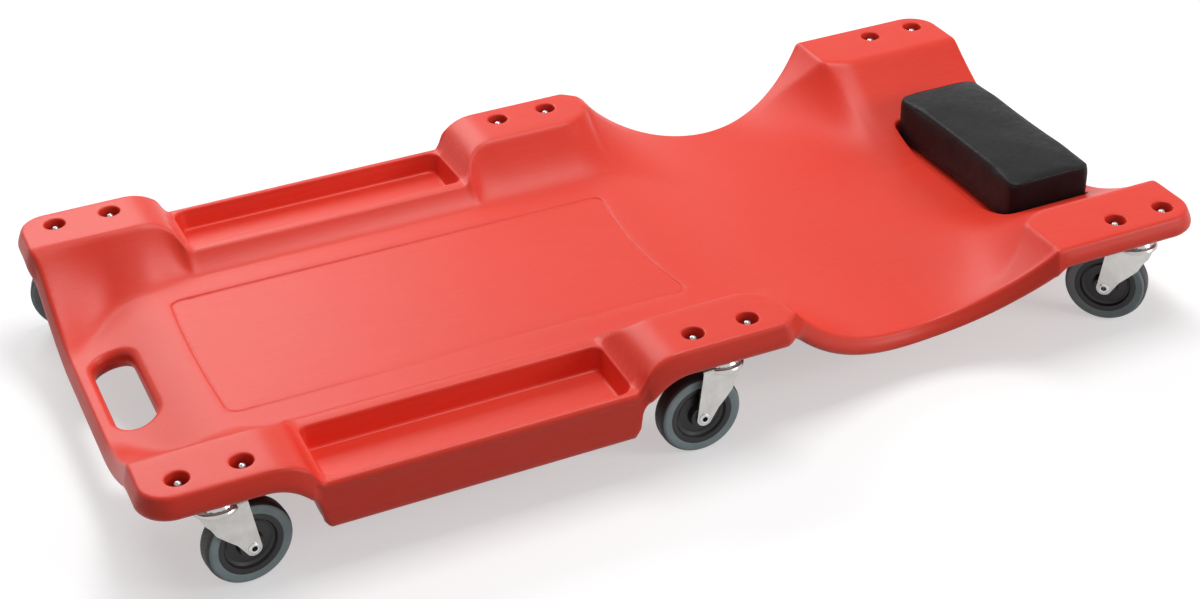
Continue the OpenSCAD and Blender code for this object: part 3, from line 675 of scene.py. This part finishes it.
    def pit(at, surface, rim_drop, floor, taper, fillet, up=1):
        """Walls and floor of a blind recess, which opens upwards, or downwards where up is -1."""
        first = rim_ring(at(0), surface, rim_drop * up)
        rings = [first]
        for f in (0.25, 0.5, 0.75):
            z = first[:, 2] - (first[:, 2] - floor - up * fillet) * f
            rings.append(np.column_stack([at(-0.25 - taper * f), z]))
        for a in np.radians((0, 20, 40, 60, 80, 90)):
            xy = at(-0.25 - taper - fillet * (1 - math.cos(a)))
            rings.append(np.column_stack([xy, np.full(len(xy), floor + up * fillet * (1 - math.sin(a)))]))
        xy = at(-1.25 - taper - fillet)
        rings.append(np.column_stack([xy, np.full(len(xy), floor)]))
        shell.strips(rings, up > 0)
        start = shell.add(rings[-1])
        loop = list(range(start, start + len(xy)))
        shell.faces.append(tuple(loop[::-1] if up > 0 else loop))

    for at in trays:
        pit(at, top_z, POCKET_ROUND, TRAY_FLOOR, taper=3.6, fillet=3.0)
    for k, at in enumerate(wells):
        level = (FOOT_TOP, MID_TOP, HEAD_TOP)[k // 4]
        pit(at, top_z, WELL_ROUND, level - WELL_DEPTH, taper=0.3, fillet=1.2)
    pit(seat, top_z, SEAT_ROUND, SEAT_FLOOR, taper=0.3, fillet=1.5)
    for at in screws:
        pit(at, low_z, WELL_ROUND, SCREW_WELL_TOP, taper=0.2, fillet=0.8, up=-1)
    return shell.mesh("board_skin")


def piece(name, mesh):
    o = bpy.data.objects.new(name, mesh)
    scene.collection.objects.link(o)
    return o


def coords(me):
    co = np.zeros(len(me.vertices) * 3)
    me.vertices.foreach_get("co", co)
    return co.reshape(-1, 3)


board = piece("board_skin", board_mesh())
board.data.materials.append(LOOKS["board_plastic"])
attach(board, "board")
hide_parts("deck")

# Headrest cushion: swollen by a cloth simulation whose seams are held, in millimetres unless said otherwise
CUSHION_LOW, CUSHION_EDGE, CROWN = 54.6, REST_TOP - 0.4, 2.6
HALF_X, HALF_Y, CORNER = REST_LEN / 2 - 0.5, REST_WID / 2 - 0.5, 7.5
PINCHES = [(sx, sy * (HALF_Y - 23)) for sx in (-1, 1) for sy in (-1, 1)]
SAG_LONG, SAG_SHORT = 1.6, 0.9
SWELL_FRAMES, SWELL_CAP = 20, 0.005


def plan_ring(inset):
    """The cushion's plan, anticlockwise, with sides that are drawn in between the corners."""
    pts = []
    hx, hy = HALF_X - inset, HALF_Y - inset
    for k, (sx, sy) in enumerate(CORNER_SIGNS):
        v = np.linspace(-1, 1, 44)
        if k % 2 == 0:
            pts += [(sx * (hx - SAG_LONG * (1 - t * t)), sx * t * (hy - CORNER)) for t in v]
        else:
            pts += [(-sy * t * (hx - CORNER), sy * (hy - SAG_SHORT * (1 - t * t))) for t in v]
        for a in np.radians(np.linspace(90 * k, 90 * k + 90, 11)[1:-1]):
            pts.append((sx * (hx - CORNER) + CORNER * math.cos(a), sy * (hy - CORNER) + CORNER * math.sin(a)))
    return np.array(pts)


def from_corner(x, y, sx, sy):
    """The distance of a place from just inside one of the cushion's corners."""
    return np.hypot(x - sx * (HALF_X - 2), y - sy * (HALF_Y - 2))


def seam_drop(x, y):
    """How far the top edge sinks at a place: at the four corners, and in a pinch on each long side near them."""
    drop = 0.0
    for sx in (1, -1):
        for sy in (1, -1):
            drop = drop + 2.6 * np.exp(-(from_corner(x, y, sx, sy) / 15) ** 2)
    for sx, py in PINCHES:
        drop = drop + 1.0 * np.exp(-((y - py) / 3.2) ** 2 - ((x - sx * HALF_X) / 9) ** 2)
    return drop


def loft(rings, name):
    """A closed mesh over rings of equal length, with a face at each end, in metres."""
    me = bpy.data.meshes.new(name)
    n = len(rings[0])
    pts = np.concatenate(rings) * MM
    faces = [(a * n + i, a * n + (i + 1) % n, (a + 1) * n + (i + 1) % n, (a + 1) * n + i)
             for a in range(len(rings) - 1) for i in range(n)]
    faces += [tuple(range(n))[::-1], tuple(range((len(rings) - 1) * n, len(rings) * n))]
    me.from_pydata(pts.tolist(), [], faces)
    return me


def applied(o):
    """The object's evaluated mesh takes the place of its mesh and modifiers."""
    bpy.context.view_layer.update()
    me = bpy.data.meshes.new_from_object(o.evaluated_get(bpy.context.evaluated_depsgraph_get()))
    o.modifiers.clear()
    old, o.data = o.data, me
    bpy.data.meshes.remove(old)
    return o


def distances(points, ring):
    """The distance from each point to the nearest of a ring's points."""
    out = np.zeros(len(points))
    for k in range(0, len(points), 4000):
        d = points[k:k + 4000, None] - ring[None]
        out[k:k + 4000] = np.sqrt((d * d).sum(axis=2)).min(axis=1)
    return out


def edge_line(inset):
    """The top edge of the cushion, as points in millimetres."""
    xy = plan_ring(inset)
    return np.column_stack([xy[:, 0] + REST_X, xy[:, 1], CUSHION_EDGE - seam_drop(xy[:, 0], xy[:, 1])])


def cushion():
    """The cushion as one closed object: a loft, evened out, swollen, and given its puckers and waves."""
    def level(inset, z):
        xy = plan_ring(inset)
        return np.column_stack([xy[:, 0] + REST_X, xy[:, 1], np.full(len(xy), z)])

    rings = [level(4, CUSHION_LOW), level(1.4, CUSHION_LOW + 0.8), level(0.3, CUSHION_LOW + 3)]
    top = edge_line(0.0)
    for f in np.linspace(0.1, 0.93, 9):
        side = level(0.0, 0)
        side[:, 2] = mix(CUSHION_LOW + 3, top[:, 2], f)
        rings.append(side)
    rings.append(edge_line(0.9) + (0, 0, 0.1))
    for f in (0.1, 0.22, 0.38, 0.56, 0.74, 0.9):
        ring = edge_line(0.9)
        ring[:, 0] = mix(ring[:, 0], REST_X, f)
        ring[:, 1] *= 1 - f
        ring[:, 2] = mix(ring[:, 2], CUSHION_EDGE, ease(0, 0.4, f)) + CROWN * (1 - (1 - f) ** 2.2)
        rings.append(ring)
    o = piece("headrest_cushion", loft(rings, "headrest_cushion"))
    remesh = o.modifiers.new("remesh", "REMESH")
    remesh.mode, remesh.voxel_size = "VOXEL", 0.0036
    applied(o)
    start = coords(o.data)
    q = start / MM
    edge = distances(q, edge_line(0.4))
    corner = np.min([from_corner(q[:, 0] - REST_X, q[:, 1], sx, sy) for sx in (1, -1) for sy in (1, -1)], axis=0)
    hold = (edge < 2.6) | (corner < 3.0) | (q[:, 2] < 60)
    now = start
    pins = o.vertex_groups.new(name="pins")
    pins.add([int(i) for i in np.flatnonzero(hold)], 1.0, "REPLACE")
    cloth = o.modifiers.new("cloth", "CLOTH")
    c = cloth.settings
    c.quality, c.mass, c.air_damping = 6, 0.012, 3.0
    c.tension_stiffness = c.compression_stiffness = 8
    c.shear_stiffness, c.bending_stiffness = 4, 0.4
    c.vertex_group_mass, c.pin_stiffness = "pins", 1.0
    c.use_pressure, c.uniform_pressure_force = True, 4.0
    c.effector_weights.gravity = 0
    cloth.point_cache.frame_start, cloth.point_cache.frame_end = 1, SWELL_FRAMES
    for f in range(1, SWELL_FRAMES + 1):
        scene.frame_set(f)
    swollen = coords(o.evaluated_get(bpy.context.evaluated_depsgraph_get()).data)
    o.modifiers.clear()
    o.vertex_groups.clear()
    scene.frame_set(1)
    move = swollen - start
    length = np.linalg.norm(move, axis=1)[:, None]
    now = start + move * SWELL_CAP / (SWELL_CAP + length)
    # Puckers that run out from the edge, and slow waves over the faces
    rng = np.random.default_rng(7)
    phase, q = rng.uniform(0, 6.28, 9), now / MM
    x, y = (q[:, 0] - REST_X) / HALF_X, q[:, 1] / HALF_Y
    along = np.where(abs(x) * HALF_X / HALF_Y > abs(y) - 1 + HALF_X / HALF_Y, y * HALF_Y, x * HALF_X)
    wave = sum(np.sin(along / (2.6 + 1.7 * k) + phase[k]) for k in range(4)) / 4
    away = np.exp(-edge / 8.0) * unit(edge / 3.0)
    slow = np.sin(q[:, 1] / 15 + phase[5] + q[:, 2] / 19) * np.sin(q[:, 0] / 11 + phase[6])
    slow = slow + np.sin(q[:, 1] / 24 + phase[7])
    lift = 0.5 * wave * away + 0.28 * slow * unit(edge / 14)
    face = np.where(q[:, 2] > CUSHION_EDGE - 1.5, 0, 1)
    out = np.stack([x * face, y * face, 1.0 - face], axis=1)
    now = now + out * lift[:, None] * MM
    o.data.vertices.foreach_set("co", now.ravel())
    o.data.polygons.foreach_set("use_smooth", [True] * len(o.data.polygons))
    smooth = o.modifiers.new("smooth", "SMOOTH")
    smooth.factor, smooth.iterations = 0.5, 2
    sub = o.modifiers.new("finer", "SUBSURF")
    sub.levels = sub.render_levels = 1
    return applied(o)


def tube(points, radius, name, closed=True, sides=10):
    """A round tube along points in millimetres."""
    p = np.asarray(points, float)
    n = len(p)
    ahead = np.roll(p, -1, axis=0) - np.roll(p, 1, axis=0)
    if not closed:
        ahead[0], ahead[-1] = p[1] - p[0], p[-1] - p[-2]
    ahead /= np.linalg.norm(ahead, axis=1)[:, None]
    up = np.where(abs(ahead[:, 2:3]) > 0.8, (1.0, 0.3, 0), (0, 0, 1.0))
    side = np.cross(ahead, up)
    side /= np.linalg.norm(side, axis=1)[:, None]
    top = np.cross(side, ahead)
    a = np.linspace(0, 2 * math.pi, sides + 1)[:-1]
    ring = np.cos(a)[None, :, None] * side[:, None] + np.sin(a)[None, :, None] * top[:, None]
    rings = p[:, None] + radius * ring
    me = bpy.data.meshes.new(name)
    last = n if closed else n - 1
    faces = []
    for i in range(last):
        here, there = i * sides, (i + 1) % n * sides
        faces += [(here + j, here + (j + 1) % sides, there + (j + 1) % sides, there + j) for j in range(sides)]
    if not closed:
        faces += [tuple(range(sides))[::-1], tuple(range((n - 1) * sides, n * sides))]
    me.from_pydata((rings.reshape(-1, 3) * MM).tolist(), [], faces)
    me.polygons.foreach_set("use_smooth", [True] * len(me.polygons))
    return me


def dressed(o, look, body, *replaced):
    """Gives a piece its material and body, and hides the nodes that it stands for."""
    if not o.data.materials:
        o.data.materials.append(LOOKS[look])
    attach(o, body)
    if replaced:
        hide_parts(*replaced)
    return o


def laid(o, line):
    """A line in millimetres, moved to the nearest places on an object and evened out."""
    tree = BVHTree.FromObject(o, bpy.context.evaluated_depsgraph_get())
    on = np.array([tree.find_nearest(Vector(p) * MM)[0] for p in line]) / MM
    for _ in range(3):
        on[1:-1] = (on[:-2] + 2 * on[1:-1] + on[2:]) / 4
    return on


pad = cushion()
dressed(pad, "vinyl", "board", "headrest_cover", "headrest_foam")
dressed(piece("headrest_seam", tube(laid(pad, edge_line(0.0)), 0.6, "headrest_seam")), "vinyl", "board")
for k, (sx, sy) in enumerate(CORNER_SIGNS):
    c = CORNER - CORNER * math.sqrt(0.5)
    x, y = REST_X + sx * (HALF_X - c), sy * (HALF_Y - c)
    line = laid(pad, [(x, y, z) for z in np.linspace(CUSHION_EDGE - 4, 62, 24)])
    dressed(piece(f"headrest_corner_seam_{k + 1}", tube(line, 0.5, "corner_seam", False)), "vinyl", "board")

# The pressed steel's cut edges are slightly rounded
for place in PLACES:
    for name in (f"fork_{place}", f"top_plate_{place}"):
        o = nodes[name]
        o.modifiers.new("weld", "WELD").merge_threshold = 0.00002
        round_off = o.modifiers.new("edges", "BEVEL")
        round_off.width, round_off.segments, round_off.limit_method = 0.00035, 2, "ANGLE"
        round_off.angle_limit = math.radians(40)

# Floor, light and world
floor = piece("floor", bpy.data.meshes.new("floor"))
floor.data.from_pydata([(-9, -9, 0), (9, -9, 0), (9, 9, 0), (-9, 9, 0)], [], [(0, 1, 2, 3)])


def seen(tree):
    """1 for the rays that see the background: from the camera, and in metal and glass."""
    path = tree.nodes.new("ShaderNodeLightPath")
    last = path.outputs["Is Camera Ray"]
    for name in ("Is Glossy Ray", "Is Transmission Ray"):
        m = tree.nodes.new("ShaderNodeMath")
        m.operation = "MAXIMUM"
        tree.links.new(last, m.inputs[0])
        tree.links.new(path.outputs[name], m.inputs[1])
        last = m.outputs[0]
    return last


look = Look("floor").set(Roughness=0.9, Specular_IOR_Level=0.1, Emission_Color=(1, 1, 1, 1))
view = seen(look.tree)
look.colour(look.blend(view, (0.26, 0.26, 0.26), (0.64, 0.64, 0.64)))
look.link(look.ramp(view, 0, 1, 0, 0.48), look.shader.inputs["Emission Strength"])
floor.data.materials.append(look.material)

world = bpy.data.worlds.new("studio")
scene.world = world
world.use_nodes = True
tree = world.node_tree
level = tree.nodes.new("ShaderNodeMapRange")
tree.links.new(seen(tree), level.inputs["Value"])
level.inputs["To Min"].default_value, level.inputs["To Max"].default_value = 0.22, 0.92
tree.links.new(level.outputs["Result"], tree.nodes["Background"].inputs["Strength"])
tree.nodes["Background"].inputs["Color"].default_value = (1, 1, 1, 1)


def lamp(name, place, aim, size, watts):
    data = bpy.data.lights.new(name, "AREA")
    data.shape = "RECTANGLE"
    data.size, data.size_y = size
    data.energy = watts
    o = bpy.data.objects.new(name, data)
    o.location = place
    o.rotation_euler = (Vector(aim) - Vector(place)).to_track_quat("-Z", "Y").to_euler()
    scene.collection.objects.link(o)


lamp("overhead", (0.45, 0.15, 2.4), (0, 0, 0.1), (1.5, 0.7), 30)
lamp("window", (-0.45, 2.5, 2.0), (-0.2, 0, 0.1), (2.0, 1.4), 44)
lamp("side", (2.4, -2.2, 1.3), (0.2, 0, 0.1), (1.2, 1.2), 32)
